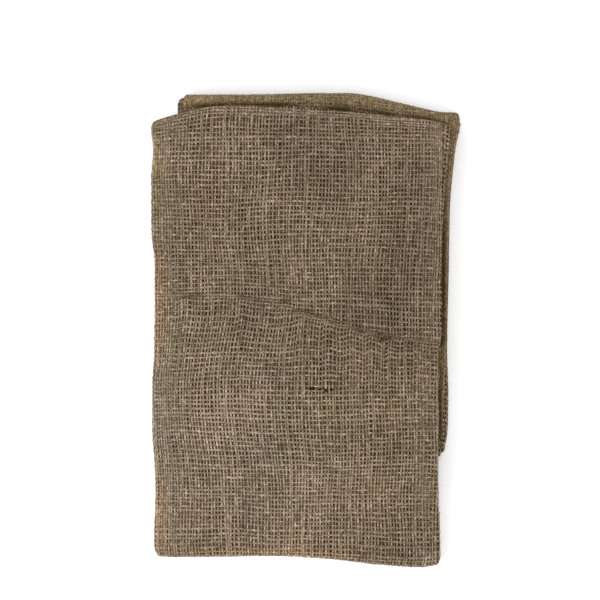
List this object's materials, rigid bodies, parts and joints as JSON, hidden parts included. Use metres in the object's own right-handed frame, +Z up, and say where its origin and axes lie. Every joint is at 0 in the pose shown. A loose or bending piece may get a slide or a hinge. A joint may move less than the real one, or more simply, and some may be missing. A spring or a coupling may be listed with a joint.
{
  "type": "jute sack",
  "caption": "Jute sack with one closed end, folded in three across its width and back and forth along its length into a flat pad of open plain-woven cloth",
  "frame": {"origin": "on the surface that the folded sack lies on, under the middle of its outline", "axes": "+X to the right and +Y up the folded sack as one looks down on it, +Z up from the surface that it lies on"},
  "size_m": [0.2164, 0.333, 0.0338],
  "materials": {
    "jute": "natural undyed jute, open plain weave, matt and slightly hairy"
  },
  "bodies": {
    "root": {"sack": "jute"}
  },
  "joints": []
}
